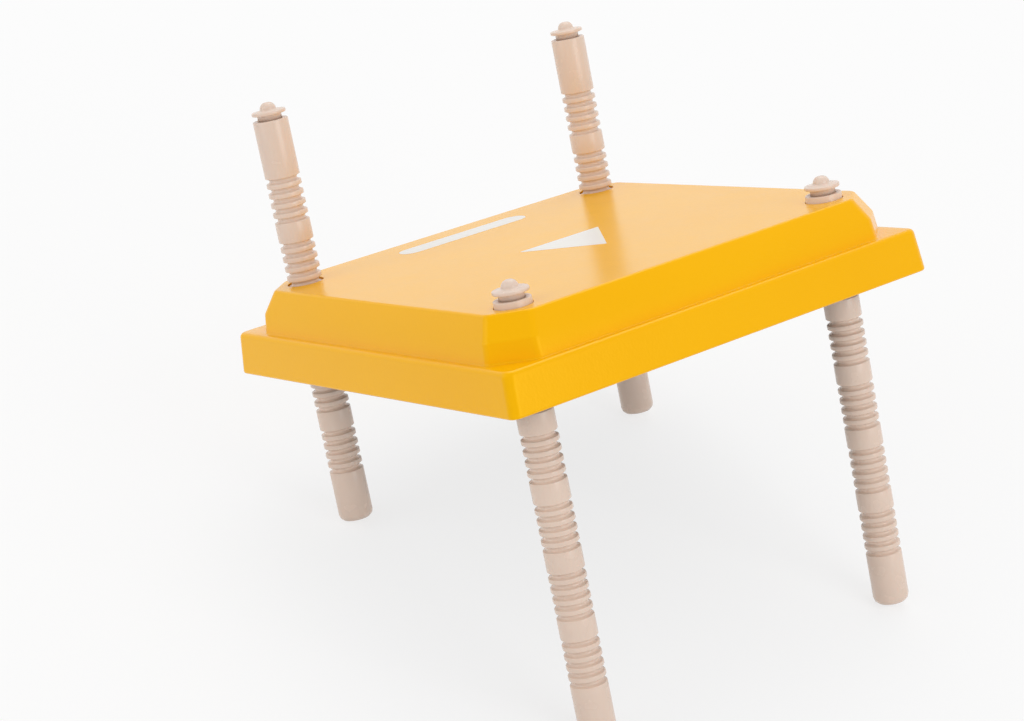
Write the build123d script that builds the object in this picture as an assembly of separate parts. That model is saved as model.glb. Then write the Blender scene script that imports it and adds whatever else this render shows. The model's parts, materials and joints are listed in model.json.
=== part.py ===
"""Brooder heater plate: a heated plate that stands aslope on four ribbed, height-adjustable legs.

Lengths are in millimetres. Every piece is made in the plate's own frame: the plate's centre is at x = y = 0,
+Z is the plate's normal, and z = 0 is the level where the spring clips hold the legs. The legs on the low
side (-X) are set further up through the plate than those on the high side (+X), so the plate leans. At the
end everything is turned by that lean, so that the four feet stand on z = 0.
"""

import os
from math import atan2, cos, degrees, radians, sin, sqrt, tan

from build123d import *

# The plate's outline, with its side taken at the top of the skirt
plate_side = 250.0
leg_inset = 30.0
skirt_height = 21.5
skirt_corner_radius = 4.0
skirt_draft = 5.0
skirt_edge_radius = 2.5
rim_edge_radius = 1.2
ledge_width = 5.0
lower_wall_height = 9.8
lower_wall_lean = 1.3
bevel_height = 11.4
bevel_run = 6.1
cut_at_base = 17.5
cut_at_crease = 16.5
cut_at_top = 15.0
plateau_edge_radius = 1.2
wall = 2.5
rib_thickness = 2.0

# Height of the clips above the skirt's lower rim
clip_height = 14.7

# The legs
leg_diameter = 18.0
leg_bore = 11.0
groove_pitch = 5.1
groove_width = 3.2
groove_depth = 2.1
grooves_in_group = 5
groups = 5
band_length = 13.2
shoulder_height = 31.0
foot_length = 28.6
foot_radius = 3.0
foot_thickness = 4.0

# The knob that closes each leg
neck_diameter = 12.5
neck_height = 2.8
rim_diameter = 17.5
rim_thickness = 2.0
rim_edge = 0.5
nub_diameter = 8.2
nub_height = 4.3
flare_height = 1.1
flare_width = 2.2
spigot_length = 12.0
spigot_clearance = 0.05
spigot_chamfer = 0.8

# Which groove each leg stands in: (group, groove), both counted from the top and from 0
high_leg_groove = (0, 0)
low_leg_groove = (2, 3)

# Guides and clips
guide_clearance = 0.4
sleeve_wall = 2.2
clip_thickness = 1.2
clip_limb_width = 1.2
clip_spread = 17.4
clip_limb = 13.0
clip_post_diameter = 5.0
clip_play = 0.1

# The base panel and its screws
panel_thickness = 2.5
panel_recess = 1.0
panel_gap = 0.3
boss_diameter = 8.0
boss_inset = 19.0
boss_spread = 80.0
screw_diameter = 2.9
screw_play = 0.05
screw_hole_diameter = 3.4
screw_head_diameter = 6.2
screw_head_height = 1.9
screw_length = 14.0
screw_slot_length = 3.4
screw_slot_width = 0.9
screw_slot_depth = 1.0
pilot_depth = 14.0

# The heater stack on the panel
stack_gap = 3.0
spreader_thickness = 1.0
film_thickness = 0.4
track_thickness = 0.3
track_width = 12.0
track_margin = 4.0
track_runs = 3
track_link_gap = 6.0
board_thickness = 15.0

# The thermal fuse and the leads
fuse_diameter = 4.0
fuse_length = 11.0
fuse_inset = 27.0
fuse_tail = 6.0
fuse_tail_diameter = 1.0
lead_diameter = 1.6
lead_step = 4.0
lead_play = 0.05
pad_near_inset = 11.0
pad_far_inset = 45.0
bay_depth = 16.0
bay_width = 40.0
channel_width = 7.0
channel_height = 6.0

# The low-voltage inlet in the low side of the skirt
inlet_height = 11.0
inlet_flange_diameter = 14.0
inlet_flange_thickness = 1.6
inlet_barrel_diameter = 10.0
inlet_barrel_length = 13.0
inlet_bore_diameter = 5.7
inlet_bore_depth = 11.0
inlet_play = 0.1
inlet_flat = 0.2
inlet_pin_diameter = 2.1
inlet_pin_length = 9.5
inlet_root_diameter = 3.0
inlet_root_length = 2.5
nut_across_flats = 13.0
nut_thickness = 2.5
rear_diameter = 8.6
rear_length = 3.0
blade_width = 2.4
blade_thickness = 0.6
blade_length = 3.2
blade_spread = 5.0

# How far a cutting tool reaches past the face it opens
overcut = 1.0

# Levels, radii and places that follow from the sizes above
leg_spacing = plate_side - 2 * leg_inset
leg_radius = leg_diameter / 2
rim_z = -clip_height
ledge_z = rim_z + skirt_height
crease_z = ledge_z + lower_wall_height
top_z = crease_z + bevel_height
draft_slope = tan(radians(skirt_draft))
rim_half = plate_side / 2 + skirt_height * draft_slope
rim_corner_radius = skirt_corner_radius + skirt_height * draft_slope
base_half = plate_side / 2 - ledge_width
crease_half = base_half - lower_wall_lean
top_half = crease_half - bevel_run
panel_z = rim_z + panel_recess
panel_top = panel_z + panel_thickness
guide_radius = leg_radius + guide_clearance
sleeve_radius = guide_radius + sleeve_wall
slot_half = clip_thickness / 2 + clip_play
group_step = (grooves_in_group - 1) * groove_pitch + band_length
spreader_top = panel_top + spreader_thickness
film_top = spreader_top + film_thickness
track_top = film_top + track_thickness
board_top = track_top + board_thickness
boss_at = plate_side / 2 - boss_inset
clip_reach = clip_limb + (clip_spread + clip_limb_width) / 2
stack_half = boss_at - boss_diameter / 2 - stack_gap
notch_at = leg_spacing / 2 - clip_reach - stack_gap
track_pitch = (notch_at - track_margin - track_width / 2) / (track_runs - 1 / 2)
track_bend = track_pitch / 2
track_link = stack_half - track_margin - track_width / 2
track_inner_end = track_link - track_width - track_link_gap - track_bend
track_outer_end = track_link - track_bend
pad_near = -stack_half + pad_near_inset
pad_far = -stack_half + pad_far_inset
bay_end = -stack_half + bay_depth
fuse_centre = -stack_half + fuse_inset
inlet_z = rim_z + inlet_height
inlet_x = -rim_half + inlet_height * draft_slope + inlet_flat
inlet_wall = wall - 2 * inlet_flat
nut_corner_radius = nut_across_flats / 2 / cos(radians(30))
fuse_z = film_top + fuse_diameter / 2 + lead_play
blade_end = inlet_barrel_length + rear_length + blade_length
panel_half = rim_half - wall - panel_gap - (panel_recess + panel_thickness) * draft_slope


def groove_drop(group, groove):
    """How far a groove lies below the leg's topmost one."""
    return group * group_step + groove * groove_pitch


low_leg_lift = groove_drop(*low_leg_groove)
high_leg_lift = groove_drop(*high_leg_groove)
lowest_groove = groove_drop(groups - 1, grooves_in_group - 1)
foot_drop = lowest_groove + foot_length
lean = degrees(atan2(low_leg_lift - high_leg_lift, leg_spacing))

# Name of each corner: (side of the plate along x, side along y, lift of its leg)
corners = {
    "low_right": (-1, -1, low_leg_lift),
    "low_left": (-1, 1, low_leg_lift),
    "high_right": (1, -1, high_leg_lift),
    "high_left": (1, 1, high_leg_lift),
}


def corner_place(name, z=0.0):
    side_x, side_y, _ = corners[name]
    return Pos(side_x * leg_spacing / 2, side_y * leg_spacing / 2, z)


def octagon(half, cut, z):
    """A square with its corners cut off at 45 degrees, as a face at height z."""
    inner = half - cut
    points = [
        (half, -inner),
        (half, inner),
        (inner, half),
        (-inner, half),
        (-half, inner),
        (-half, -inner),
        (-inner, -half),
        (inner, -half),
    ]
    return Pos(0, 0, z) * make_face(Polyline(*points, close=True))


def rod(radius, low, high):
    return extrude(Pos(0, 0, low) * Circle(radius), amount=high - low)


def outer_form():
    """The housing's outside as one solid block: skirt, ledge and bevelled plateau."""
    skirt_plan = RectangleRounded(2 * rim_half, 2 * rim_half, rim_corner_radius)
    skirt = extrude(Pos(0, 0, rim_z) * skirt_plan, amount=skirt_height, taper=skirt_draft)
    skirt = fillet(skirt.edges().group_by(Axis.Z)[-1], skirt_edge_radius)
    skirt = fillet(skirt.edges().group_by(Axis.Z)[0], rim_edge_radius)
    levels = [
        octagon(base_half, cut_at_base, ledge_z - wall),
        octagon(base_half, cut_at_base, ledge_z),
        octagon(crease_half, cut_at_crease, crease_z),
        octagon(top_half, cut_at_top, top_z),
    ]
    plateau = loft(levels, ruled=True)
    upper_edges = [e for e in plateau.edges() if e.center().Z > ledge_z + overcut]
    plateau = fillet(upper_edges, plateau_edge_radius)
    return skirt + plateau


def inner_form(inset):
    """A plainer copy of the outer form, set inside it by the given distance and open to below."""
    side = 2 * (rim_half - inset)
    plan = RectangleRounded(side, side, rim_corner_radius - inset)
    skirt = extrude(Pos(0, 0, rim_z) * plan, amount=skirt_height - inset, taper=skirt_draft)
    shrink = inset * (2 - sqrt(2))
    half_below_top = top_half + bevel_run * inset / bevel_height
    levels = [
        octagon(base_half - inset, cut_at_base - shrink, ledge_z - 2 * wall),
        octagon(base_half - inset, cut_at_base - shrink, ledge_z),
        octagon(crease_half - inset, cut_at_crease - shrink, crease_z),
        octagon(half_below_top - inset, cut_at_top - shrink, top_z - inset),
    ]
    return skirt + loft(levels, ruled=True)


def boss_places():
    """The six screw places: two along the low and the high side, and one along the others."""
    for side in (-1, 1):
        yield (side * boss_at, -boss_spread / 2)
        yield (side * boss_at, boss_spread / 2)
        yield (0, side * boss_at)


def shell_ribs():
    """Webs that tie the screw bosses and the leg sleeves to the housing's walls."""
    reach = rim_half
    webs = []
    for x, y in boss_places():
        along_x = abs(x) > abs(y)
        length = reach - boss_at
        size = (length, rib_thickness) if along_x else (rib_thickness, length)
        middle = (boss_at + reach) / 2
        side = 1 if (x if along_x else y) > 0 else -1
        at = (side * middle, y) if along_x else (x, side * middle)
        web = extrude(Pos(*at, panel_top + wall) * Rectangle(*size), amount=top_z - panel_top)
        webs.append(web)
    middle = (leg_spacing / 2 + guide_radius + sleeve_wall / 2 + reach) / 2
    length = 2 * (reach - middle)
    for name, (side_x, side_y, _) in corners.items():
        at_x = Pos(side_x * middle, side_y * leg_spacing / 2, ledge_z - wall)
        at_y = Pos(side_x * leg_spacing / 2, side_y * middle, ledge_z - wall)
        webs.append(extrude(at_x * Rectangle(length, rib_thickness), amount=top_z))
        webs.append(extrude(at_y * Rectangle(rib_thickness, length), amount=top_z))
    return webs


def upper_shell():
    """The yellow housing, open below, with leg sleeves, screw bosses, webs and the inlet's hole."""
    inside = []
    for name in corners:
        inside.append(corner_place(name) * rod(sleeve_radius, slot_half, top_z))
    for x, y in boss_places():
        inside.append(Pos(x, y, 0) * rod(boss_diameter / 2, panel_top, top_z))
    inside = inside[0] + inside[1:] + shell_ribs()
    shell = outer_form() - inner_form(wall) + (inside & inner_form(wall / 2))
    for name in corners:
        shell -= corner_place(name) * rod(guide_radius, rim_z, top_z + overcut)
    pilot_radius = screw_diameter / 2 + screw_play
    for x, y in boss_places():
        shell -= Pos(x, y, 0) * rod(pilot_radius, panel_top, panel_top + pilot_depth)
    hole_radius = inlet_barrel_diameter / 2 + inlet_play
    shell -= inlet_place() * rod(hole_radius, -2 * wall, wall)
    shell -= inlet_place() * rod(inlet_flange_diameter / 2 + inlet_flat, 0, wall)
    shell -= inlet_place() * rod(nut_corner_radius + inlet_flat, -2 * wall, -inlet_wall)
    return shell


def base_panel():
    """The flat panel that closes the housing and warms the space below, with a collar round each leg."""
    radius = rim_corner_radius - wall - panel_gap
    plan = RectangleRounded(2 * panel_half, 2 * panel_half, radius)
    panel = extrude(Pos(0, 0, panel_z) * plan, amount=panel_thickness)
    post_x = clip_reach - clip_limb_width - clip_play - clip_post_diameter / 2
    for name, (side_x, _, _) in corners.items():
        panel += corner_place(name) * rod(sleeve_radius, panel_top, -slot_half)
        post = Pos(-side_x * post_x, 0, 0) * rod(clip_post_diameter / 2, panel_top, slot_half)
        panel += corner_place(name) * post
        panel -= corner_place(name) * rod(guide_radius, panel_z - overcut, 0)
    for x, y in boss_places():
        panel -= Pos(x, y, 0) * rod(screw_hole_diameter / 2, panel_z - overcut, panel_top + overcut)
        head_radius = screw_head_diameter / 2 + screw_play
        sink = Cone(head_radius, screw_diameter / 2 + screw_play, screw_head_height)
        panel -= Pos(x, y, panel_z + screw_head_height / 2) * sink
    return panel


def base_screw():
    """One countersunk screw, head down, with its cross recess."""
    head_radius = screw_head_diameter / 2
    head = Pos(0, 0, screw_head_height / 2) * Cone(head_radius, screw_diameter / 2, screw_head_height)
    shank = rod(screw_diameter / 2, screw_head_height, screw_length)
    slot = Box(screw_slot_length, screw_slot_width, 2 * screw_slot_depth)
    return head + shank - slot - Rot(0, 0, 90) * slot


def base_screws():
    screw = base_screw()
    return [Pos(x, y, panel_z) * screw for x, y in boss_places()]


def stack_plan():
    """The cross-shaped outline of the heater's layers, clear of the four legs."""
    plan = Rectangle(2 * stack_half, 2 * stack_half)
    for side_x in (-1, 1):
        for side_y in (-1, 1):
            size = stack_half - notch_at
            middle = (stack_half + notch_at) / 2
            plan -= Pos(side_x * middle, side_y * middle) * Rectangle(size, size)
    return plan


def track_line(side, pad_x):
    """One half of the heating track, from its pad to the link at the high side."""
    rows = [side * track_pitch * (n + 1 / 2) for n in range(track_runs)]
    lines = []
    start = (pad_x, rows[0])
    for n, y in enumerate(rows[:-1]):
        end_x = track_inner_end if n % 2 == 0 else -track_outer_end
        outward = track_bend if n % 2 == 0 else -track_bend
        next_y = rows[n + 1]
        lines.append(Line(start, (end_x, y)))
        lines.append(ThreePointArc((end_x, y), (end_x + outward, (y + next_y) / 2), (end_x, next_y)))
        start = (end_x, next_y)
    last = rows[-1]
    corner_x = track_link - track_bend
    inside = track_bend * (1 - cos(radians(45)))
    lines.append(Line(start, (corner_x, last)))
    middle = (track_link - inside, last - side * inside)
    lines.append(ThreePointArc((corner_x, last), middle, (track_link, last - side * track_bend)))
    return lines


def heating_track():
    """The printed resistance track: three runs a side, joined along the high side."""
    last = track_pitch * (track_runs - 1)
    lines = track_line(1, pad_far) + track_line(-1, pad_near)
    lines.append(Line((track_link, last), (track_link, -last)))
    strip = None
    for line in lines:
        piece = trace(line, line_width=track_width)
        strip = piece if strip is None else strip + piece
    return extrude(Pos(0, 0, film_top) * strip, amount=track_thickness)


def insulation_board():
    """The foam board on the heater, with a bay for the leads and a channel for the fuse."""
    board = extrude(Pos(0, 0, track_top) * stack_plan(), amount=board_thickness)
    bay_length = bay_end + stack_half
    bay_x = (bay_end - stack_half) / 2
    board -= Pos(bay_x, 0, track_top + board_thickness / 2) * Box(bay_length, bay_width, 2 * board_thickness)
    channel_x = (bay_end + pad_far) / 2 + channel_width / 4
    channel_length = pad_far - bay_end + channel_width / 2
    height = 2 * channel_height
    board -= Pos(channel_x, 0, track_top) * Box(channel_length, channel_width, height)
    reach = track_bend + channel_width
    board -= Pos(pad_far, reach / 2 - channel_width / 4, track_top) * Box(channel_width, reach, height)
    return board


def thermal_fuse():
    """The axial thermal fuse, lying on the film between the two halves of the track."""
    body = rod(fuse_diameter / 2, -fuse_length / 2, fuse_length / 2)
    tail = fuse_length / 2 + fuse_tail
    wire = rod(fuse_tail_diameter / 2, -tail, tail)
    return Pos(fuse_centre, 0, fuse_z) * Rot(0, 90, 0) * (body + wire)


def lead(points):
    """One stiff insulated lead along straight runs with mitred corners."""
    path = Polyline(*points)
    start = path.edges()[0]
    section = Plane(origin=start @ 0, z_dir=start % 0) * Circle(lead_diameter / 2)
    return sweep(section, path=path, transition=Transition.RIGHT)


def inlet_place():
    """Origin in the skirt's outer face at the inlet, with +Z pointing out of the socket, square to the wall."""
    out = (-cos(radians(skirt_draft)), 0, sin(radians(skirt_draft)))
    return Plane(origin=(inlet_x, 0, inlet_z), x_dir=(0, 1, 0), z_dir=out).location


def behind_blade(side, distance):
    """The point at a distance straight behind one of the inlet's two blades."""
    point = Pos(side * blade_spread / 2, 0, -blade_end - lead_play - distance)
    return tuple((inlet_place() * point).position)


def supply_leads():
    """Inlet to fuse, fuse to the track's far pad, and inlet to its near pad."""
    tail = fuse_length / 2 + fuse_tail + lead_play
    on_track = track_top + lead_diameter / 2 + lead_play
    bend_x = behind_blade(1, lead_step)[0] + lead_step
    to_fuse = [
        behind_blade(1, 0),
        behind_blade(1, lead_step),
        (bend_x, 0, fuse_z),
        (fuse_centre - tail, 0, fuse_z),
    ]
    to_far_pad = [
        (fuse_centre + tail, 0, on_track),
        (pad_far, 0, on_track),
        (pad_far, track_bend, on_track),
    ]
    to_near_pad = [
        behind_blade(-1, 0),
        behind_blade(-1, lead_step),
        (bend_x, -track_bend, on_track),
        (pad_near + lead_step, -track_bend, on_track),
    ]
    return [lead(points) for points in (to_fuse, to_far_pad, to_near_pad)]


def dc_inlet():
    """The socket body: flange, threaded barrel with its bore, and the rear with two blades."""
    body = rod(inlet_flange_diameter / 2, 0, inlet_flange_thickness)
    body = chamfer(body.edges().group_by(Axis.Z)[-1], inlet_flange_thickness / 4)
    body += rod(inlet_barrel_diameter / 2, -inlet_barrel_length, 0)
    body += rod(rear_diameter / 2, -inlet_barrel_length - rear_length, -inlet_barrel_length)
    blade_z = -blade_end + blade_length / 2
    for side in (-1, 1):
        blade = Box(blade_thickness, blade_width, blade_length)
        body += Pos(side * blade_spread / 2, 0, blade_z) * blade
    mouth = inlet_flange_thickness
    body -= rod(inlet_bore_diameter / 2, mouth - inlet_bore_depth, mouth + overcut)
    floor = mouth - inlet_bore_depth
    body -= rod(inlet_root_diameter / 2, floor - inlet_root_length, mouth)
    return inlet_place() * body


def dc_inlet_pin():
    """The centre contact: a thicker root pressed into the floor of the bore, and a bevelled tip."""
    floor = inlet_flange_thickness - inlet_bore_depth
    pin = rod(inlet_pin_diameter / 2, floor, floor + inlet_pin_length)
    pin = chamfer(pin.edges().group_by(Axis.Z)[-1], inlet_pin_diameter / 4)
    root = rod(inlet_root_diameter / 2, floor - inlet_root_length, floor)
    return inlet_place() * (pin + root)


def dc_inlet_nut():
    """The nut that clamps the inlet from inside, with its flats level."""
    hexagon = RegularPolygon(nut_across_flats / 2, 6, major_radius=False)
    plan = hexagon - Circle(inlet_barrel_diameter / 2 + lead_play)
    return inlet_place() * extrude(Pos(0, 0, -inlet_wall - nut_thickness) * plan, amount=nut_thickness)


def clip_plan(half):
    """A U whose arms reach past the leg and whose bend, a half circle, lies on the other side."""
    arms = Pos(0, 0) * Rectangle(2 * clip_limb, 2 * half)
    return arms + Pos(clip_limb, 0) * Circle(half)


def leg_clip(side_x):
    """A fork of spring sheet, whose two arms lie in a groove on either side of the leg."""
    outer = clip_plan((clip_spread + clip_limb_width) / 2)
    inner = clip_plan((clip_spread - clip_limb_width) / 2)
    fork = extrude(Pos(0, 0, -clip_thickness / 2) * (outer - inner), amount=clip_thickness)
    return Rot(0, 0, 0 if side_x < 0 else 180) * fork


def round_off(outer, low, size, upward):
    """Two flats that stand in for a rounded edge of a turned piece, as (radius, height) points."""
    cut = size * (1 - cos(radians(45)))
    if upward:
        return [(outer - size, low), (outer - cut, low + cut), (outer, low + size)]
    return [(outer, low - size), (outer - cut, low - cut), (outer - size, low)]


def turned(outline):
    """A solid of revolution about Z from (radius, height) points."""
    return revolve(make_face(Polyline(*[(x, 0, z) for x, z in outline], close=True)), axis=Axis.Z)


def leg_tube():
    """One ribbed leg, closed at the foot and bored from the top, with its topmost groove at z = 0."""
    foot_z = -foot_drop
    outline = round_off(leg_radius, foot_z, foot_radius, True)
    for group in reversed(range(groups)):
        for groove in reversed(range(grooves_in_group)):
            z = -groove_drop(group, groove)
            outline.append((leg_radius, z - groove_width / 2))
            outline.append((leg_radius - groove_depth, z))
            outline.append((leg_radius, z + groove_width / 2))
    bore_floor = foot_z + foot_thickness
    outline += [(leg_radius, shoulder_height), (leg_bore / 2, shoulder_height)]
    outline += [(leg_bore / 2, bore_floor), (0, bore_floor), (0, foot_z)]
    return turned(outline)


def leg_knob():
    """The plug in the top of a leg: spigot, neck, thin round-edged rim and a flared nub."""
    rim_low = shoulder_height + neck_height
    rim_high = rim_low + rim_thickness
    dome = nub_height - flare_height
    spigot_radius = leg_bore / 2 - spigot_clearance
    spigot_low = shoulder_height - spigot_length
    outline = [
        (0, spigot_low),
        (spigot_radius - spigot_chamfer, spigot_low),
        (spigot_radius, spigot_low + spigot_chamfer),
        (spigot_radius, shoulder_height),
        (neck_diameter / 2, shoulder_height),
        (neck_diameter / 2, rim_low),
    ]
    outline += round_off(rim_diameter / 2, rim_low, rim_edge, True)
    outline += round_off(rim_diameter / 2, rim_high, rim_edge, False)
    outline.append((nub_diameter / 2 + flare_width, rim_high + flare_height / 4))
    for turn in (0, 25, 50, 72):
        radius = nub_diameter / 2 * cos(radians(turn))
        outline.append((radius, rim_high + flare_height + dome * sin(radians(turn))))
    outline.append((0, rim_high + nub_height))
    return turned(outline)


def build():
    """All nodes in the plate's frame."""
    nodes = {
        "upper_shell": [upper_shell()],
        "base_panel": [base_panel()],
        "heat_spreader": [extrude(Pos(0, 0, panel_top) * stack_plan(), amount=spreader_thickness)],
        "heating_film": [extrude(Pos(0, 0, spreader_top) * stack_plan(), amount=film_thickness)],
        "heating_track": [heating_track()],
        "insulation_board": [insulation_board()],
        "thermal_fuse": [thermal_fuse()],
        "supply_leads": supply_leads(),
        "dc_inlet": [dc_inlet()],
        "dc_inlet_pin": [dc_inlet_pin()],
        "dc_inlet_nut": [dc_inlet_nut()],
        "base_screws": base_screws(),
    }
    tube_solid = leg_tube()
    knob_solid = leg_knob()
    for name, (side_x, _, lift) in corners.items():
        nodes[f"{name}_clip"] = [corner_place(name) * leg_clip(side_x)]
        nodes[f"{name}_leg"] = [corner_place(name, lift) * tube_solid]
        nodes[f"{name}_knob"] = [corner_place(name, lift) * knob_solid]
    return nodes


def stand(nodes):
    """Turns every node by the plate's lean and sets the feet on z = 0, centred on the origin."""
    turned = {name: [Rot(0, -lean, 0) * s for s in solids] for name, solids in nodes.items()}
    everything = Compound(children=[Compound(children=list(s)) for s in turned.values()])
    box = everything.bounding_box(optimal=True)
    shift = Vector(-(box.min.X + box.max.X) / 2, -(box.min.Y + box.max.Y) / 2, -box.min.Z)
    moved = {name: [Pos(*shift) * s for s in solids] for name, solids in turned.items()}
    return moved, shift


def main():
    os.makedirs("parts", exist_ok=True)
    moved, shift = stand(build())
    print("lean", round(lean, 3), "shift", [round(v, 4) for v in shift])
    for name, solids in moved.items():
        export_step(Compound(children=list(solids)), f"parts/{name}.step")
    return shift


if __name__ == "__main__":
    main()
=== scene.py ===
# %% [markdown]
# # A brooder heater plate
#
# A square, heated plate of glossy yellow plastic stands aslope on four ribbed legs. Each leg
# snaps to a height of its own. The CAD model gives every piece its place and its size. This
# script gives the pieces that show their moulded forms, and every surface its finish. The sizes
# of pieces are in millimetres, and MM turns them into Blender's metres.

# %% Load the CAD model
import json
from math import atan2, cos, degrees, pi, radians, sin, tan, tau

import bmesh
import bpy
from mathutils import Matrix, Quaternion, Vector


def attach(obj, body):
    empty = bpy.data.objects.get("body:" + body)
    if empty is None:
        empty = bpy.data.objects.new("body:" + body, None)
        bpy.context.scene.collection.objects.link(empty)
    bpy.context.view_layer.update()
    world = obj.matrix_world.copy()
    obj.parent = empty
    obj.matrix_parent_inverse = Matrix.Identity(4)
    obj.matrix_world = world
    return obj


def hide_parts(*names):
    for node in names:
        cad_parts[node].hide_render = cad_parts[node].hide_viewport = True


MM = 0.001
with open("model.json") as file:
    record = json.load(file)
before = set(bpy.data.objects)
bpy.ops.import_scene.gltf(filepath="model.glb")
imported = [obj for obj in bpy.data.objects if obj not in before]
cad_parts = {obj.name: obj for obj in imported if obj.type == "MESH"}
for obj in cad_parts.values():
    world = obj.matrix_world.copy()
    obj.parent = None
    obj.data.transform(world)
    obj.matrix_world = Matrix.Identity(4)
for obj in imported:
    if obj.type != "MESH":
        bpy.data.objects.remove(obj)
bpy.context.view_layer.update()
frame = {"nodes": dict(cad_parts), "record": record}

# %% [markdown]
# ## The plate's own frame
#
# The plate leans, so its pieces are easier to model lying flat and to tip afterwards. The record
# gives the middle of the flat top and the direction that it faces, and the matrix needs no more:
# a turn about Y that takes +Z to the plate's normal, and a move to the middle of the top. In this
# frame the flat top is at a height of zero, and the rest of the plate lies below it.

# %% Read the lean from the record
mounts = {mount["name"]: mount for mount in frame["record"]["mounts"]}
top_middle = Vector(mounts["plate_top"]["pos_m"])
plate_up = Vector(mounts["plate_top"]["axis"])
lean = Quaternion((0, 1, 0), -Vector((0, 0, 1)).angle(plate_up))
on_top = Matrix.Translation(top_middle) @ lean.to_matrix().to_4x4()
print("lean", round(degrees(lean.angle), 2), "degrees")

# %% [markdown]
# ## Shader maths as plain expressions
#
# A material's pattern is easier to read as a formula than as a web of nodes. The class below
# holds one output of a node. Adding, subtracting or multiplying it makes the Math node that does
# so, also when the number stands on the left.


# %% An output that can be reckoned with
class Shade:
    """One output of a shader node, on which Python's operators make Math nodes."""

    def __init__(self, tree, socket):
        self.tree = tree
        self.socket = socket

    def maths(self, operation, *values):
        inputs = dict(enumerate(values))
        return node(self.tree, "ShaderNodeMath", {"operation": operation}, inputs)

    def __add__(self, other):
        return self.maths("ADD", self, other)

    def __sub__(self, other):
        return self.maths("SUBTRACT", self, other)

    def __rsub__(self, other):
        return self.maths("SUBTRACT", other, self)

    def __mul__(self, other):
        return self.maths("MULTIPLY", self, other)

    __radd__ = __add__
    __rmul__ = __mul__


# %% [markdown]
# Every other node comes from one function, which takes the node's kind, its settings, and a value
# or a link for each input that matters. An input is named, or numbered where Blender's names
# repeat.


# %% Any node
def node(tree, kind, settings=None, inputs=None, output=0):
    """Makes a node, sets it up, feeds its sockets with values or links, and returns one output."""
    made = tree.nodes.new(kind)
    for name, value in (settings or {}).items():
        setattr(made, name, value)
    for name, value in (inputs or {}).items():
        if isinstance(value, Shade):
            tree.links.new(value.socket, made.inputs[name])
        else:
            made.inputs[name].default_value = value
    return Shade(tree, made.outputs[output]) if made.outputs else None


# %% [markdown]
# A finish is a material on one Principled shader. Its patterns read Object coordinates, which are
# real lengths on the piece, so a grain keeps its size whatever the piece measures.

# %% A finish and its patterns
# The sockets of a Mix node that mixes colours, which share their names with its other sockets
MIX_AMOUNT, MIX_FIRST, MIX_SECOND, MIX_RESULT = 0, 6, 7, 2


class Finish:
    """A material on one Principled shader, with the patterns that the finishes here share."""

    def __init__(self, name, **sockets):
        self.material = bpy.data.materials.new(name)
        self.material.use_nodes = True
        self.tree = self.material.node_tree
        self.shader = self.tree.nodes["Principled BSDF"]
        self.places = node(self.tree, "ShaderNodeTexCoord", output="Object")
        for socket, value in sockets.items():
            self.set(socket, value)

    def set(self, socket, value):
        target = self.shader.inputs[socket.replace("_", " ")]
        if isinstance(value, Shade):
            self.tree.links.new(value.socket, target)
        else:
            target.default_value = value

    def noise(self, per_metre, detail=2.0, stretch=(1, 1, 1)):
        inputs = {"Vector": self.places, "Scale": stretch}
        places = node(self.tree, "ShaderNodeMapping", None, inputs)
        inputs = {"Vector": places, "Scale": per_metre, "Detail": detail}
        return node(self.tree, "ShaderNodeTexNoise", None, inputs)

    def cells(self, per_metre):
        inputs = {"Vector": self.places, "Scale": per_metre}
        return node(self.tree, "ShaderNodeTexVoronoi", {"feature": "F1"}, inputs, "Distance")

    def mix(self, amount, first, second):
        inputs = {MIX_AMOUNT: amount, MIX_FIRST: (*first, 1), MIX_SECOND: (*second, 1)}
        return node(self.tree, "ShaderNodeMix", {"data_type": "RGBA"}, inputs, MIX_RESULT)

    def bump(self, height, depth):
        inputs = {"Height": height, "Distance": depth, "Strength": 1.0}
        self.set("Normal", node(self.tree, "ShaderNodeBump", None, inputs))


def clouded(name, per_metre, dark, light, **sockets):
    """A finish whose colour drifts between two near shades, as pigment does in a moulding."""
    finish = Finish(name, **sockets)
    finish.set("Base_Color", finish.mix(finish.noise(per_metre), dark, light))
    return finish


# %% [markdown]
# ## Yellow housing plastic
#
# The housing is moulded in a deep yellow, shiny enough for its flat top to mirror the room when
# it is seen from low down. A coat could give that shine, but the plastic has no lacquer, so the
# shader's own smooth surface does it. Head on, a white mirror image would turn the walls chalky,
# so the specular tint is yellow, which leaves the shine at a low angle white. Two slow noises
# keep it from looking like a computer's yellow: one shifts the pigment a little, and one ripples
# the surface as a large flat moulding does. A fine grain takes the edge off.

# %% The housing's finish
deep_yellow, light_yellow = (0.92, 0.445, 0.0015), (0.95, 0.485, 0.002)
yellow_tint = (1.0, 0.72, 0.08, 1)
yellow = clouded(
    "housing_yellow", 14.0, deep_yellow, light_yellow, IOR=1.5, Specular_Tint=yellow_tint
)
yellow.set("Roughness", 0.17 + 0.08 * yellow.noise(60.0))
ripple, fine_grain = yellow.noise(9.0), yellow.noise(700.0)
yellow.bump(0.12 * ripple + 0.06 * fine_grain, 0.0012)
print("housing finish made")

# %% [markdown]
# ## Leg plastic
#
# The legs are a pinkish beige, about as smooth as the housing. Light gets a little way into such
# a pale plastic, which softens the shadows in its grooves, so the shader gets a small share of
# subsurface light, in which red goes furthest.

# %% The legs' finish
beige = clouded(
    "leg_beige",
    35.0,
    (0.72, 0.56, 0.46),
    (0.77, 0.61, 0.505),
    IOR=1.5,
    Subsurface_Weight=0.12,
    Subsurface_Scale=0.002,
    Subsurface_Radius=(1.0, 0.6, 0.45),
)
beige.set("Roughness", 0.2 + 0.12 * beige.noise(120.0))
beige.bump(beige.noise(700.0, 3.0), 0.00006)
print("leg finish made")

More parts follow.
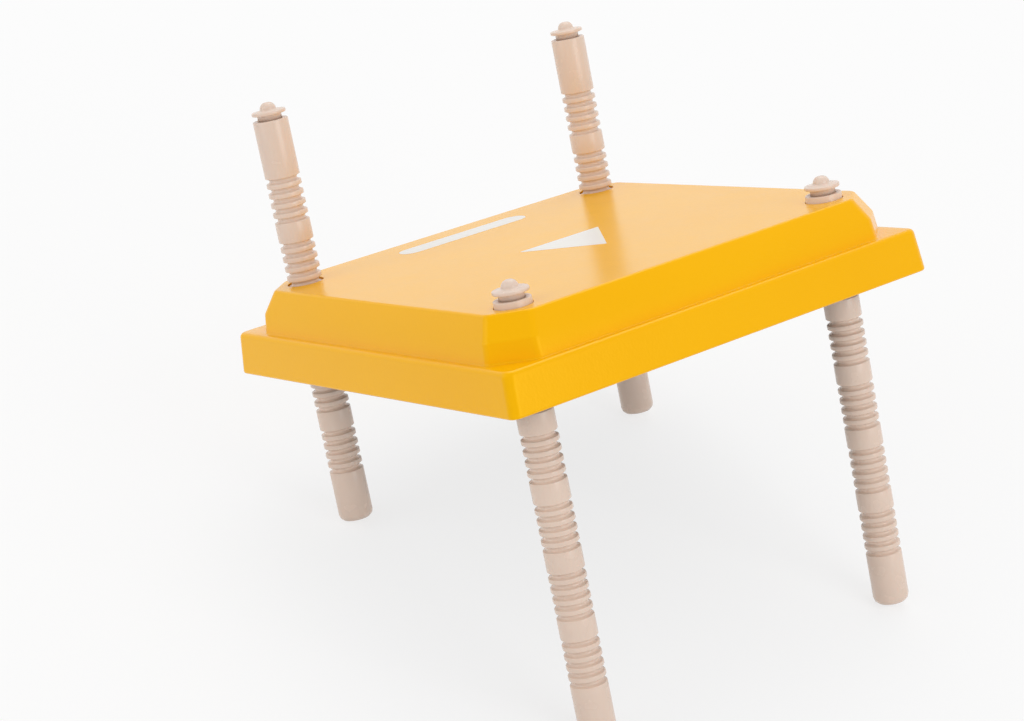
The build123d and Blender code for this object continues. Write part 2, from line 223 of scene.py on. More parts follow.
# %% [markdown]
# ## The finishes of the other pieces
#
# Most of these show only from below, or when the plate is opened. Each gets the structure that
# its material has, at its real size. The panel under the plate has the fine leather grain of such
# mouldings, and the foam has the beads that it was blown from: both are cells, and the foam's are
# turned over, so that its beads stand out.

# %% Plastics, foam and film
panel_black = Finish("panel_black", IOR=1.5)
leather = panel_black.cells(900.0)
dark_panel, light_panel = (0.020, 0.020, 0.022), (0.034, 0.034, 0.036)
panel_black.set("Base_Color", panel_black.mix(leather, dark_panel, light_panel))
panel_black.set("Roughness", 0.52 + 0.2 * panel_black.noise(40.0))
panel_black.bump(leather, 0.00012)

foam = Finish("foam_white", Roughness=0.85)
beads = foam.cells(260.0)
foam.set("Base_Color", foam.mix(beads, (0.70, 0.70, 0.68), (0.82, 0.82, 0.80)))
foam.bump(1 - beads, 0.0006)

inlet_black = clouded(
    "inlet_black", 300.0, (0.012, 0.012, 0.013), (0.022, 0.022, 0.024), IOR=1.5
)
inlet_black.set("Roughness", 0.28 + 0.15 * inlet_black.noise(500.0))

lead_black = clouded("lead_black", 400.0, (0.015, 0.015, 0.016), (0.03, 0.03, 0.031))
lead_black.set("Roughness", 0.4 + 0.15 * lead_black.noise(600.0))

film_amber = clouded("film_amber", 80.0, (0.42, 0.17, 0.03), (0.50, 0.22, 0.05), Roughness=0.3)
print("plastics, foam and film made")

# %% [markdown]
# Rolled and drawn metal has fine lines along one direction. A noise that is squeezed across that
# direction gives them, and it drives the colour, the roughness and the bump together.


# %% Metals
def brushed(name, dark, light, roughness, stretch):
    """A metal with fine lines, from a noise stretched by its own amount along each axis."""
    metal = Finish(name, Metallic=1.0)
    lines = metal.noise(220.0, 3.0, stretch)
    metal.set("Base_Color", metal.mix(lines, dark, light))
    metal.set("Roughness", roughness + 0.15 * lines)
    metal.bump(lines, 0.00004)
    return metal


sheet_metal = brushed("sheet_aluminium", (0.60, 0.60, 0.61), (0.72, 0.72, 0.73), 0.30, (1, 12, 12))
spring_steel = brushed("spring_steel", (0.42, 0.43, 0.45), (0.55, 0.56, 0.58), 0.25, (2, 9, 9))
screw_steel = brushed("screw_steel", (0.50, 0.50, 0.51), (0.66, 0.66, 0.67), 0.22, (6, 6, 1))
copper = brushed("track_copper", (0.62, 0.30, 0.17), (0.72, 0.38, 0.23), 0.28, (1, 10, 10))
contact_brass = brushed("contact_brass", (0.62, 0.47, 0.20), (0.74, 0.58, 0.28), 0.16, (1, 8, 8))
fuse_metal = brushed("fuse_metal", (0.48, 0.46, 0.42), (0.60, 0.58, 0.54), 0.30, (1, 6, 6))
print("metals made")

# %% [markdown]
# Each CAD piece gets its finish by name. The housing, the legs and the knobs get theirs too, in
# case they are ever shown, although this script models them again below.

# %% Give the CAD pieces their finishes
finish_of = {
    "upper_shell": yellow,
    "base_panel": panel_black,
    "heat_spreader": sheet_metal,
    "heating_film": film_amber,
    "heating_track": copper,
    "insulation_board": foam,
    "thermal_fuse": fuse_metal,
    "supply_leads": lead_black,
    "dc_inlet": inlet_black,
    "dc_inlet_pin": contact_brass,
    "dc_inlet_nut": screw_steel,
    "base_screws": screw_steel,
}
corners = ("low_right", "low_left", "high_right", "high_left")
for corner in corners:
    finish_of[f"{corner}_clip"] = spring_steel
    finish_of[f"{corner}_leg"] = beige
    finish_of[f"{corner}_knob"] = beige
for name, cad_object in frame["nodes"].items():
    cad_object.data.materials.clear()
    cad_object.data.materials.append(finish_of[name].material)
print(len(frame["nodes"]), "CAD pieces have their finish")

# %% [markdown]
# ## Turned pieces
#
# A leg and its knob are round, so each is a half section spun about its axis. The section starts
# as a chain of straight edges. Rounding its corners before the spin, with a bevel on vertices,
# gives every rib and rim its soft edge for very little work: the alternative, a bevel on hundreds
# of finished rings, is slower and hard to control.

# %% Spin a rounded half section
corner_segments = 3
merge_distance = 0.002


def round_corners(mesh, points, radius, segments):
    """Rounds some corner points of a chain or of a flat outline."""
    bmesh.ops.bevel(
        mesh,
        geom=points,
        offset=radius * MM,
        offset_type="OFFSET",
        affect="VERTICES",
        segments=segments,
        profile=0.5,
        material=-1,
    )


def turned(section, steps):
    """Spins a chain about Z, each of its points given as (radius, height, rounding)."""
    mesh = bmesh.new()
    chain = [mesh.verts.new((radius * MM, 0, height * MM)) for radius, height, _ in section]
    for start, end in zip(chain, chain[1:]):
        mesh.edges.new((start, end))
    for size in sorted({rounding for _, _, rounding in section} - {0}):
        wanted = [point for point, (_, _, rounding) in zip(chain, section) if rounding == size]
        round_corners(mesh, wanted, size, corner_segments)
    bmesh.ops.spin(
        mesh,
        geom=mesh.verts[:] + mesh.edges[:],
        cent=(0, 0, 0),
        axis=(0, 0, 1),
        angle=tau,
        steps=steps,
        use_merge=True,
    )
    bmesh.ops.remove_doubles(mesh, verts=mesh.verts[:], dist=merge_distance * MM)
    bmesh.ops.recalc_face_normals(mesh, faces=mesh.faces[:])
    return mesh


# %% [markdown]
# A finished piece is an object at the origin, and its place is in its mesh, as the CAD model's is.
# Here it also gets the body that it rides on and the slot of its material, and the CAD piece that
# it stands for is hidden.


# %% Make a piece of a finished mesh
def place(mesh, name, matrix, finish, body, stands_for=(), smooth=True):
    """Makes a finished bmesh an object at the origin, its place in its mesh, riding on a body."""
    bmesh.ops.transform(mesh, matrix=matrix, verts=mesh.verts[:])
    data = bpy.data.meshes.new(name)
    mesh.to_mesh(data)
    mesh.free()
    data.polygons.foreach_set("use_smooth", [smooth] * len(data.polygons))
    data.materials.append(finish.material)
    piece = bpy.data.objects.new(name, data)
    bpy.context.collection.objects.link(piece)
    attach(piece, body)
    if stands_for:
        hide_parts(*stands_for)
    print(name, len(data.polygons), "faces")
    return piece


# %% [markdown]
# ## The ribbed legs
#
# Five groups of five grooves run down each leg, with a plain band between the groups, a plain
# stretch under the knob and a plain foot. The real grooves are round-bottomed notches with softly
# rounded ribs between them, where the CAD model has plain V shapes, so each leg is made again
# with a U in every groove. Heights along a leg are counted from its topmost groove.

# %% A leg's half section
leg_radius = 9.0
bore_radius = 5.5
groove_pitch = 5.1
band_length = 13.2
groups = 5
grooves_in_group = 5
groove_half_mouth = 1.45
groove_half_floor = 0.85
groove_depth = 1.9
rib_rounding, floor_rounding = 0.25, 0.8
shoulder_height = 31.0
shoulder_rounding = 0.5
foot_length = 28.6
foot_rounding = 3.7
foot_thickness = 4.0
group_step = (grooves_in_group - 1) * groove_pitch + band_length
foot_drop = (groups - 1) * group_step + (grooves_in_group - 1) * groove_pitch + foot_length


def leg_section():
    """The half section of a leg, from the foot up, as (radius, height, rounding)."""
    floor_radius = leg_radius - groove_depth
    section = [(0, -foot_drop, 0), (leg_radius, -foot_drop, foot_rounding)]
    for group in reversed(range(groups)):
        for groove in reversed(range(grooves_in_group)):
            z = -group * group_step - groove * groove_pitch
            section.append((leg_radius, z - groove_half_mouth, rib_rounding))
            section.append((floor_radius, z - groove_half_floor, floor_rounding))
            section.append((floor_radius, z + groove_half_floor, floor_rounding))
            section.append((leg_radius, z + groove_half_mouth, rib_rounding))
    section.append((leg_radius, shoulder_height, shoulder_rounding))
    section.append((bore_radius, shoulder_height, 0))
    section.append((bore_radius, foot_thickness - foot_drop, 0))
    section.append((0, foot_thickness - foot_drop, 0))
    return section


print("a leg reaches from", round(-foot_drop, 1), "to", shoulder_height, "mm")

# %% [markdown]
# The mould closed along two lines on the leg, and these leave a faint seam. The spin puts a
# column of points at this angle, and the seam draws that column and the one opposite out by a
# tenth of a millimetre. The bore was made by a core and has no seam.

# %% The seam
seam_angle = radians(52.5)
seam_rise = 0.1
seam_reach = 0.05
bore_margin = 0.5


def raise_seam(mesh):
    """Draws out the outer points that lie in the plane where the mould parts."""
    direction = Vector((cos(seam_angle), sin(seam_angle), 0))
    across = Vector((-sin(seam_angle), cos(seam_angle), 0))
    for vertex in mesh.verts:
        outside = vertex.co.xy.length > (bore_radius + bore_margin) * MM
        if outside and abs(vertex.co.dot(across)) < seam_reach * MM:
            way = 1 if vertex.co.dot(direction) > 0 else -1
            vertex.co += direction * (seam_rise * MM * way)


# %% [markdown]
# ## The knobs
#
# A knob is a plug in the top of its leg. From below it has a spigot in the bore, a neck, a thin
# rim for the fingers and a nub, whose dome is given as shares of the nub's own radius and height.

# %% A knob's half section
spigot_radius, spigot_length, spigot_rounding = 5.45, 12.0, 0.6
neck_radius, neck_height, neck_rounding = 6.25, 2.8, 0.4
rim_radius, rim_thickness, rim_rounding = 8.75, 2.0, 0.45
rim_fall = 0.3
nub_radius, nub_height = 4.1, 4.05
nub_foot, nub_foot_rounding = 0.4, 0.5
nub_wall, nub_wall_rounding = 1.4, 0.4
nub_dome, dome_rounding = ((0.88, 0.62), (0.6, 0.92), (0.25, 1)), 0.7


def knob_section():
    """The half section of a knob, from its spigot up, as (radius, height, rounding)."""
    rim_low = shoulder_height + neck_height
    rim_high = rim_low + rim_thickness
    section = [
        (0, shoulder_height - spigot_length, 0),
        (spigot_radius, shoulder_height - spigot_length, spigot_rounding),
        (spigot_radius, shoulder_height, 0),
        (neck_radius, shoulder_height, 0),
        (neck_radius, rim_low, neck_rounding),
        (rim_radius, rim_low, rim_rounding),
        (rim_radius, rim_high - rim_fall, rim_rounding),
        (nub_radius, rim_high + nub_foot, nub_foot_rounding),
        (nub_radius, rim_high + nub_wall, nub_wall_rounding),
    ]
    for out, up in nub_dome:
        section.append((nub_radius * out, rim_high + nub_height * up, dome_rounding))
    return section + [(0, rim_high + nub_height, 0)]


# %% [markdown]
# A leg stands square to the plate, at its corner. How far up it stands comes from the record:
# each leg's slide starts that far below rest, where its topmost groove is level with the clip.

# %% Stand the legs and their knobs at the corners
leg_at = 95.0
clip_level = -28.0
leg_steps = 96
joints = frame["record"]["behaviour"]["joints"]
lowest = {joint["child"]: joint["range_m"][0] for joint in joints}


def leg_place(corner):
    """The matrix that takes a leg, modelled upright on its topmost groove, to its corner."""
    across = leg_at * MM * (1 if corner.startswith("high") else -1)
    along = leg_at * MM * (1 if corner.endswith("left") else -1)
    up = clip_level * MM - lowest[f"{corner}_leg_body"]
    return on_top @ Matrix.Translation((across, along, up))


for corner in corners:
    body = f"{corner}_leg_body"
    matrix = leg_place(corner)
    leg_mesh = turned(leg_section(), leg_steps)
    raise_seam(leg_mesh)
    place(leg_mesh, f"{corner}_ribbed_leg", matrix, beige, body, [f"{corner}_leg"])
    knob_mesh = turned(knob_section(), leg_steps)
    place(knob_mesh, f"{corner}_turned_knob", matrix, beige, body, [f"{corner}_knob"])
    print(corner, [round(v, 4) for v in matrix.translation])

# %% [markdown]
# ## The housing
#
# The housing is one moulding: a skirt that widens downwards, a narrow ledge, and a raised middle
# with cut corners whose walls lean in twice. Each level of it is a square, given by half its
# side, or a square with its corners cut off by an amount. An outline that is moved outwards
# everywhere by the same distance has its corner cut grow too, by the share called square_off.

# %% Housing sizes, from the flat top down
wall = 2.5
top_half, crease_half, base_half, plate_half = 112.6, 118.7, 120.0, 125.0
top_cut, crease_cut, base_cut = 15.0, 16.5, 17.5
crease_level, ledge_level, rim_level = -11.4, -21.2, -42.7
skirt_draft = radians(5.0)
skirt_slope = tan(skirt_draft)
rim_half = plate_half + (ledge_level - rim_level) * skirt_slope
inner_top_half = top_half + (crease_half - top_half) * wall / -crease_level
square_off = 2 - 2**0.5
print("the skirt is", round(2 * rim_half, 1), "mm square at its rim")

# %% [markdown]
# Sharp edges would give the housing away as a drawing, because on glossy plastic it is the
# rounded edges that catch the light. So each block is extruded level by level from one flat
# outline, then its upright edges are rounded, then each level edge, the way a model maker sands a
# block. A block that is rounded in this order keeps clean strips of faces all round.


# %% Extrude a block
def outline(half, cut):
    """The corner points of a square, or of one with its corners cut off, in order round it."""
    inner = half - cut
    if not cut:
        return [(half, half), (-half, half), (-half, -half), (half, -half)]
    points = [(half, inner), (inner, half), (-inner, half), (-half, inner)]
    return points + [(-x, -y) for x, y in points]


def block(mesh, levels):
    """Extrudes a closed block through levels of (half, cut, height), and returns its edges."""
    already = set(mesh.edges)
    half, cut, height = levels[0]
    ring = [mesh.verts.new((x * MM, y * MM, height * MM)) for x, y in outline(half, cut)]
    face = mesh.faces.new(ring)
    for step, (half, cut, height) in enumerate(levels[1:]):
        grown = bmesh.ops.extrude_face_region(mesh, geom=[face])["geom"]
        if step:
            # From the second step on, the face that was extruded is left inside the block
            bmesh.ops.delete(mesh, geom=[face], context="FACES_ONLY")
        ring = [item for item in grown if isinstance(item, bmesh.types.BMVert)]
        ring.sort(key=lambda vertex: atan2(vertex.co.y, vertex.co.x))
        points = sorted(outline(half, cut), key=lambda point: atan2(point[1], point[0]))
        for vertex, (x, y) in zip(ring, points):
            vertex.co = Vector((x, y, height)) * MM
        face = next(item for item in grown if isinstance(item, bmesh.types.BMFace))
    return [edge for edge in mesh.edges if edge not in already]


# %% [markdown]
# The edges are chosen by where they lie. An upright edge climbs. The edges at one level are found
# within a tolerance, because rounding the upright edges moves their ends a little. A bevel's
# offset follows from the radius and from the angle through which the surface turns at the edge.

# %% Choose its edges and round them
least_climb = 0.2
level_tolerance = 0.15


def upright(edges):
    """Those edges that climb."""
    climb = least_climb * MM
    return [edge for edge in edges if abs(edge.verts[0].co.z - edge.verts[1].co.z) > climb]


def level(mesh, height, reach):
    """The edges at one height, within a tolerance, whose ends lie further out than a reach."""
    found = []
    for edge in mesh.edges:
        ends = [end.co / MM for end in edge.verts]
        flat = all(abs(end.z - height) < level_tolerance for end in ends)
        if flat and all(max(abs(end.x), abs(end.y)) > reach for end in ends):
            found.append(edge)
    return found


def soften(mesh, edges, radius, turn, segments):
    """Rounds edges to a radius, given the angle in degrees through which the surface turns."""
    bmesh.ops.bevel(
        mesh,
        geom=edges,
        offset=radius * tan(radians(turn) / 2) * MM,
        offset_type="OFFSET",
        affect="EDGES",
        segments=segments,
        profile=0.5,
        material=-1,
    )


# %% [markdown]
# The skirt and the raised middle are made apart, each as a closed block. Where they meet, their
# flat faces are taken out and the gap between the two rims is filled, which makes the ledge.
# Holes are made in the same way: a flat face gives way to a fill between its rim and a circle,
# and the circle is drawn on into a sleeve. Two rims that come to lie on each other are welded,
# which is surer than a bridge between them, because a bridge may pair their points with a twist.

# %% Fill between rims, open holes and draw them on
hole_points = 64
face_tolerance = 0.01
weld_distance = 0.01


def fill(mesh, edges, normal):
    """Fills a flat region between closed rims with triangles."""
    bmesh.ops.triangle_fill(mesh, use_beauty=True, use_dissolve=False, edges=edges, normal=normal)


def flat_face(mesh, height):
    """The largest face whose middle lies at a height, in millimetres."""
    near = [
        face
        for face in mesh.faces
        if abs(face.calc_center_median().z / MM - height) < face_tolerance
    ]
    return max(near, key=lambda face: face.calc_area())


def open_face(mesh, face):
    """Takes a face out and returns its rim."""
    rim = list(face.edges)
    bmesh.ops.delete(mesh, geom=[face], context="FACES_ONLY")
    return rim


def pierce(mesh, face, places):
    """Opens round holes in a flat face, each given as (matrix, radius), and returns their rims."""
    normal = face.normal.copy()
    rims = []
    for matrix, radius in places:
        circle = bmesh.ops.create_circle(
            mesh, cap_ends=False, radius=radius * MM, segments=hole_points, matrix=matrix
        )
        rims.append(list({edge for vertex in circle["verts"] for edge in vertex.link_edges}))
    fill(mesh, open_face(mesh, face) + [edge for rim in rims for edge in rim], normal)
    return rims


def draw(mesh, rim, matrix, radius, height):
    """Extrudes a round rim to another radius and height on its axis, and returns the new rim."""
    grown = bmesh.ops.extrude_edge_only(mesh, edges=rim)["geom"]
    back = matrix.inverted()
    for vertex in [item for item in grown if isinstance(item, bmesh.types.BMVert)]:
        spoke = (back @ vertex.co).xy.normalized() * radius
        vertex.co = matrix @ Vector((spoke.x * MM, spoke.y * MM, height * MM))
    return [item for item in grown if isinstance(item, bmesh.types.BMEdge)]


def weld(mesh, first, second):
    """Joins two rims whose points lie on each other."""
    points = {vertex for edge in first + second for vertex in edge.verts}
    bmesh.ops.remove_doubles(mesh, verts=list(points), dist=weld_distance * MM)


# %% [markdown]
# The outside comes first. The foot of the raised middle flares out over its last millimetre,
# which stands for the fillet there.

# %% Model the outside
upwards = Vector((0, 0, 1))
foot_flare = ((1.0, 0.0), (0.3, 0.25), (0.0, 1.0))
middle_reach = 90.0

shell = bmesh.new()
skirt = block(shell, [(rim_half, 0, rim_level), (plate_half, 0, ledge_level)])
soften(shell, upright(skirt), radius=4.8, turn=90, segments=6)
soften(shell, level(shell, ledge_level, base_half), radius=2.5, turn=85, segments=5)
soften(shell, level(shell, rim_level, base_half), radius=1.2, turn=95, segments=3)
ledge_rim = open_face(shell, flat_face(shell, ledge_level))
outer_rim = open_face(shell, flat_face(shell, rim_level))

levels = [
    (base_half + out, base_cut + square_off * out, ledge_level + up) for out, up in foot_flare
]
levels += [(crease_half, crease_cut, crease_level), (top_half, top_cut, 0)]
soften(shell, upright(block(shell, levels)), radius=5.0, turn=45, segments=5)
soften(shell, level(shell, crease_level, middle_reach), radius=3.5, turn=20.6, segments=3)
soften(shell, level(shell, 0, middle_reach), radius=1.8, turn=61.8, segments=4)
middle_rim = open_face(shell, flat_face(shell, ledge_level))
fill(shell, ledge_rim + middle_rim, upwards)
print("outside", len(shell.faces), "faces")

# %% [markdown]
# The inside is a plainer pair of blocks, one wall thickness smaller, joined to the outside along
# the bottom rim. A Solidify modifier would do it in one step, but it folds over itself where an
# edge is rounded more tightly than the wall is thick.

# %% Model the inside
inner_ledge = ledge_level - wall
inner_skirt_top = plate_half - wall + wall * skirt_slope
below = len(shell.faces)
inner_skirt = block(shell, [(rim_half - wall, 0, rim_level), (inner_skirt_top, 0, inner_ledge)])
soften(shell, upright(inner_skirt), radius=3.3, turn=90, segments=4)
inner_rim = open_face(shell, flat_face(shell, rim_level))
inner_ledge_rim = open_face(shell, flat_face(shell, inner_ledge))

less = square_off * wall
levels = [
    (base_half - wall, base_cut - less, inner_ledge),
    (base_half - wall, base_cut - less, ledge_level),
    (crease_half - wall, crease_cut - less, crease_level),
    (inner_top_half - wall, top_cut - less, -wall),
]
block(shell, levels)
inner_middle_rim = open_face(shell, flat_face(shell, inner_ledge))
fill(shell, inner_ledge_rim + inner_middle_rim, -upwards)
fill(shell, outer_rim + inner_rim, -upwards)
print("inside", len(shell.faces) - below, "faces")

# %% [markdown]
# Four sleeves guide the legs, and six bosses take the screws that hold the base panel. A sleeve
# joins the hole in the top to one in the inner top face, and its upper edge is eased. A boss
# hangs from the inner top face and has a blind hole.

# %% Sleeves and bosses
hole_radius, sleeve_radius, sleeve_end = 9.4, 11.6, clip_level + 0.7
boss_at, boss_spread, boss_radius, boss_end = 106.0, 40.0, 4.0, rim_level + 3.5
pilot_radius, pilot_depth = 1.5, 14.0
# The upper edge of a leg's hole narrows in two steps, from its mouth down to its neck
mouth_wider = 0.4
ease_wider, ease_level = 0.1, -0.12
neck_level = -0.4

signs = [(x, y) for x in (-1, 1) for y in (-1, 1)]
leg_spots = [Matrix.Translation((x * leg_at * MM, y * leg_at * MM, 0)) for x, y in signs]
boss_places = [(x * boss_at, y * boss_spread) for x, y in signs] + [(0, boss_at), (0, -boss_at)]
boss_spots = [Matrix.Translation((x * MM, y * MM, 0)) for x, y in boss_places]

mouths = [(spot, hole_radius + mouth_wider) for spot in leg_spots]
hole_rims = pierce(shell, flat_face(shell, 0), mouths)
below_top = Matrix.Translation((0, 0, -wall * MM))
inner_holes = [(below_top @ spot, sleeve_radius) for spot in leg_spots]
inner_holes += [(below_top @ spot, boss_radius) for spot in boss_spots]
inner_rims = pierce(shell, flat_face(shell, -wall), inner_holes)
for spot, hole_rim, inner in zip(leg_spots, hole_rims, inner_rims):
    rim = draw(shell, hole_rim, spot, hole_radius + ease_wider, ease_level)
    rim = draw(shell, rim, spot, hole_radius, neck_level)
    sleeve = draw(shell, inner, spot, sleeve_radius, sleeve_end)
    sleeve = draw(shell, sleeve, spot, hole_radius, sleeve_end)
    sleeve = draw(shell, sleeve, spot, hole_radius, neck_level)
    weld(shell, rim, sleeve)
for spot, inner in zip(boss_spots, inner_rims[len(leg_spots) :]):
    rim = draw(shell, inner, spot, boss_radius, boss_end)
    rim = draw(shell, rim, spot, pilot_radius, boss_end)
    rim = draw(shell, rim, spot, pilot_radius, boss_end + pilot_depth)
    bmesh.ops.edgeloop_fill(shell, edges=rim)
print("sleeves and bosses made,", len(shell.faces), "faces")

# %% [markdown]
# The power inlet passes through the skirt on the low side. Its flange and its nut sit in shallow
# flats on the two faces of the wall, square to it. So each face is pierced by a circle as wide as
# its flat, the circle is drawn in to the flat's floor and to the hole, and the two holes meet.

# %% The inlet's hole
inlet_level, inlet_radius = rim_level + 11.0, 5.1
flange_flat, nut_flat, flat_depth = 7.2, 7.7, 0.2
outwards = Vector((-cos(skirt_draft), 0, sin(skirt_draft)))
turn_out = outwards.to_track_quat("Z", "Y").to_matrix().to_4x4()
on_wall = Vector((-rim_half + (inlet_level - rim_level) * skirt_slope, 0, inlet_level)) * MM
through = wall * cos(skirt_draft)
outer_spot = Matrix.Translation(on_wall) @ turn_out
inner_spot = outer_spot @ Matrix.Translation((0, 0, -through * MM))


def inlet_flat(mesh, spot, radius, depth):
    """Sinks a flat into the face at a spot and returns the rim of the hole in its floor."""
    face = min(
        mesh.faces, key=lambda face: (face.calc_center_median() - spot.translation).length
    )
    rim = pierce(mesh, face, [(spot, radius)])[0]
    rim = draw(mesh, rim, spot, radius, depth)
    return draw(mesh, rim, spot, inlet_radius, depth)


outer_hole = inlet_flat(shell, outer_spot, flange_flat, -flat_depth)
inner_hole = inlet_flat(shell, inner_spot, nut_flat, flat_depth)
outer_hole = draw(shell, outer_hole, outer_spot, inlet_radius, flat_depth - through)
weld(shell, outer_hole, inner_hole)
print("inlet's hole made,", len(shell.faces), "faces")

# %% [markdown]
# Thin webs tie the bosses and the sleeves to the walls, as they do in any moulding of this size.
# The ends of a web are let into the wall and into the boss or the sleeve.

# %% Webs
web_thickness = 2.0
into_boss, into_sleeve = 1.0, 0.5


def web(mesh, turn, near, far, low, high):
    """A thin upright web that runs outwards along X, turned about the plate's middle."""
    centre = Vector(((near + far) / 2, 0, (low + high) / 2)) * MM
    size = Vector((far - near, web_thickness, high - low)) * MM
    matrix = turn @ Matrix.Translation(centre) @ Matrix.Diagonal((*size, 1))
    bmesh.ops.create_cube(mesh, size=1.0, matrix=matrix)


boss_near, boss_far = boss_at + boss_radius - into_boss, base_half - wall / 2
sleeve_near, sleeve_far = leg_at + sleeve_radius - into_sleeve, crease_half - wall / 2
for quarter in range(4):
    turn = Matrix.Rotation(quarter * pi / 2, 4, "Z")
    for side in (-boss_spread, boss_spread) if quarter % 2 == 0 else (0,):
        aside = turn @ Matrix.Translation((0, side * MM, 0))
        web(shell, aside, boss_near, boss_far, boss_end + wall, ledge_level)
    for side in (-leg_at, leg_at):
        aside = turn @ Matrix.Translation((0, side * MM, 0))
        web(shell, aside, sleeve_near, sleeve_far, inner_ledge, crease_level)
print("webs made,", len(shell.faces), "faces")

# %% [markdown]
# The finished housing is smooth, with its edges sharp where the surface turns by more than fifty
# degrees. Weighted normals keep the large flat faces flat in the light, beside their narrow
# bevels.

# %% The finished housing
bmesh.ops.recalc_face_normals(shell, faces=shell.faces[:])
open_edges = [edge for edge in shell.edges if len(edge.link_faces) != 2]
print("housing", len(shell.faces), "faces,", len(open_edges), "edges without two faces")
housing = place(
    shell, "moulded_housing", on_top, yellow, "plate", ["upper_shell"]
)
housing.data.set_sharp_from_angle(angle=radians(50))
weigh = housing.modifiers.new("weighted_normals", "WEIGHTED_NORMAL")
weigh.mode = "FACE_AREA"
weigh.weight = 100
weigh.keep_sharp = True

# %% [markdown]
# ## Two blank labels
#
# Two thin labels lie on the flat top: a long strip with round ends and a small triangle. Both are
# left blank. A label is a flat outline with its corners rounded, drawn up by a tenth of a
# millimetre, and its top edge is eased so that it catches a thin line of light, as film stuck on
# plastic does.

# %% Labels
label_thickness, label_easing = 0.12, 0.06
label_white = clouded("label_white", 30.0, (0.80, 0.78, 0.74), (0.85, 0.83, 0.79), IOR=1.45)
label_white.set("Roughness", 0.3 + 0.1 * label_white.noise(200.0))
label_white.bump(label_white.noise(900.0), 0.00002)


def label(name, points, corner_radius):
    """A thin blank label on the flat top, from the corner points of its outline."""
    mesh = bmesh.new()
    ring = [mesh.verts.new((x * MM, y * MM, 0)) for x, y in points]
    mesh.faces.new(ring)
    round_corners(mesh, ring, corner_radius, segments=8)
    grown = bmesh.ops.extrude_face_region(mesh, geom=mesh.faces[:])["geom"]
    raised = [item for item in grown if isinstance(item, bmesh.types.BMVert)]
    bmesh.ops.translate(mesh, vec=(0, 0, label_thickness * MM), verts=raised)
    rim = [item for item in grown if isinstance(item, bmesh.types.BMEdge)]
    soften(mesh, rim, radius=label_easing, turn=90, segments=2)
    bmesh.ops.recalc_face_normals(mesh, faces=mesh.faces[:])
    return place(mesh, name, on_top, label_white, "plate", smooth=False)


label("strip_label", [(-95, -40), (-80, -40), (-80, 39), (-95, 39)], corner_radius=7.0)
label("triangle_label", [(-4, -22), (38, 2), (-4, 28)], corner_radius=1.2)

# %% [markdown]
# ## Floor and backdrop
#
# The product stands on white. A white floor that only reflects its lamps goes grey away from
# them, so what the camera and mirror-like surfaces see of it is partly a light of its own, at a
# strength of one, which is white. The rest is an ordinary white surface, and that part keeps the
# shadow. The light's share grows with the distance from the object, in metres, until it is all
# that is seen, so that the floor meets the white world without a horizon.

# %% Floor
floor_half, floor_grey, pure_white = 6.0, (0.86, 0.86, 0.86, 1), (1, 1, 1, 1)
light_share = {"From Min": 0.5, "From Max": 2.2, "To Min": 0.72, "To Max": 1.0}

floor_mesh = bmesh.new()
bmesh.ops.create_grid(floor_mesh, x_segments=1, y_segments=1, size=floor_half)
floor_data = bpy.data.meshes.new("floor")
floor_mesh.to_mesh(floor_data)
floor_mesh.free()
floor = bpy.data.objects.new("floor", floor_data)
bpy.context.collection.objects.link(floor)


def seen(tree):
    """1 for what the camera sees, directly, in a mirror or through glass."""
    path = tree.nodes.new("ShaderNodeLightPath")
    camera = Shade(tree, path.outputs["Is Camera Ray"])
    gloss = Shade(tree, path.outputs["Is Glossy Ray"])
    through = Shade(tree, path.outputs["Is Transmission Ray"])
    return camera.maths("MAXIMUM", camera.maths("MAXIMUM", camera, gloss), through)


floor_material = bpy.data.materials.new("floor_white")
floor_material.use_nodes = True
tree = floor_material.node_tree
tree.nodes.clear()
surface = node(tree, "ShaderNodeBsdfDiffuse", None, {"Color": floor_grey})
glow = node(tree, "ShaderNodeEmission", None, {"Color": pure_white, "Strength": 1.0})
places = node(tree, "ShaderNodeTexCoord", output="Object")
away = node(tree, "ShaderNodeVectorMath", {"operation": "LENGTH"}, {"Vector": places}, "Value")
fade = node(tree, "ShaderNodeMapRange", None, {"Value": away, **light_share})
mixed = node(tree, "ShaderNodeMixShader", None, {0: seen(tree) * fade, 1: surface, 2: glow})
node(tree, "ShaderNodeOutputMaterial", None, {"Surface": mixed})
floor_data.materials.append(floor_material)
print("floor", 2 * floor_half, "m square")

# %% [markdown]
# The world lights the object as a pale room, and shows itself to the camera as plain white.

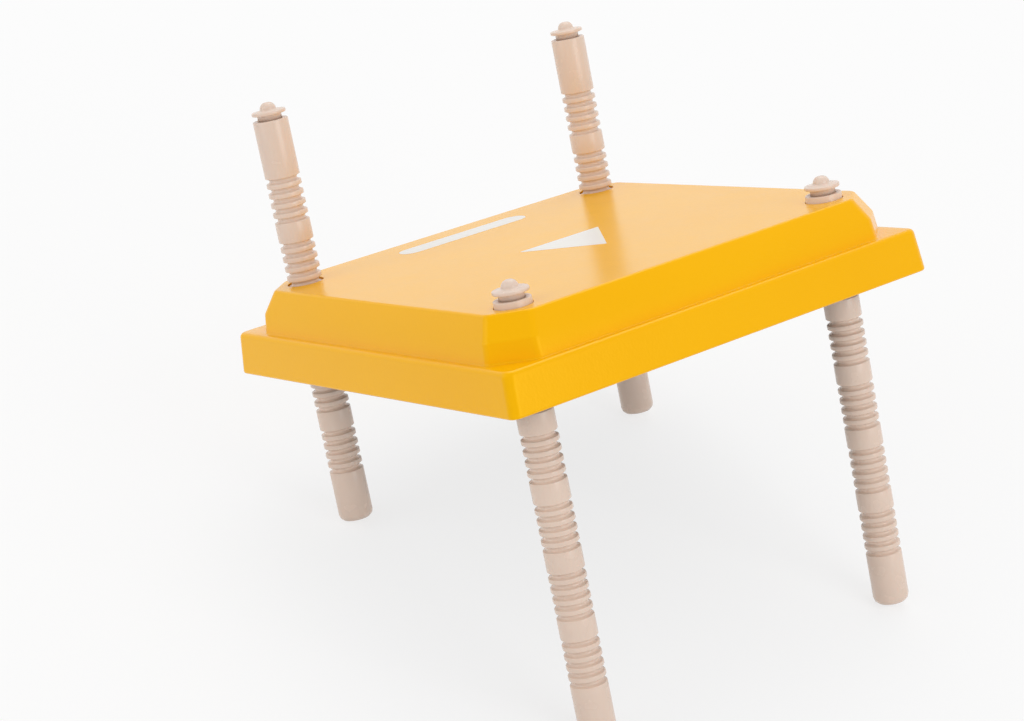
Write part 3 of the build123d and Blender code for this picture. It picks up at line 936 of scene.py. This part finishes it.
# %% World
room_strength = 0.67
world = bpy.data.worlds.new("studio")
bpy.context.scene.world = world
world.use_nodes = True
tree = world.node_tree
tree.nodes.clear()
room = node(tree, "ShaderNodeBackground", None, {"Color": pure_white, "Strength": room_strength})
white = node(tree, "ShaderNodeBackground", None, {"Color": pure_white, "Strength": 1.0})
mixed = node(tree, "ShaderNodeMixShader", None, {0: seen(tree), 1: room, 2: white})
node(tree, "ShaderNodeOutputWorld", None, {"Surface": mixed})
print("world made")

# %% [markdown]
# ## Light
#
# Three large soft lamps stand in for a studio's soft boxes: the main one above and in front to
# the right, a weaker one to the left, and one behind that keeps the far legs from going dull.

# %% Lamps
lit_point = Vector((0, 0, 0.1))


def lamp(name, location, size, power):
    """A square area lamp that faces the object."""
    data = bpy.data.lights.new(name, "AREA")
    data.size = size
    data.energy = power
    made = bpy.data.objects.new(name, data)
    made.location = location
    made.rotation_mode = "QUATERNION"
    made.rotation_quaternion = (lit_point - made.location).to_track_quat("-Z", "Y")
    bpy.context.collection.objects.link(made)
    print(name, power, "W")


lamp("key_lamp", (1.6, 0.35, 1.05), size=1.1, power=9.5)
lamp("fill_lamp", (-0.6, -1.7, 0.8), size=1.2, power=6.5)
lamp("back_lamp", (-0.9, 0.6, 1.7), size=1.4, power=10.5)

# %% [markdown]
# ## Camera
#
# The camera stands where the photograph was taken from: a fit of the legs' grooves and the
# plate's corners to the picture gave its place, its direction, a small roll and its long lens.

# %% Camera
camera_data = bpy.data.cameras.new("camera")
camera_data.sensor_width = 36.0
camera_data.lens = 88.6347
camera = bpy.data.objects.new("camera", camera_data)
camera.location = (0.833988, -0.697616, 0.783765)
forward = Vector((-0.665704, 0.521542, -0.533697))
upward = Vector((-0.454286, 0.284146, 0.844325))
sideways = forward.cross(upward)
facing = Matrix((sideways, upward, -forward)).transposed()
camera.rotation_mode = "QUATERNION"
camera.rotation_quaternion = facing.to_quaternion()
bpy.context.collection.objects.link(camera)
bpy.context.scene.camera = camera
print("camera", round(camera_data.lens, 1), "mm lens")

# %% [markdown]
# ## Colours as written
#
# The Standard view transform shows a plainly lit colour about as it is written.

bpy.context.scene.view_settings.view_transform = "Standard"
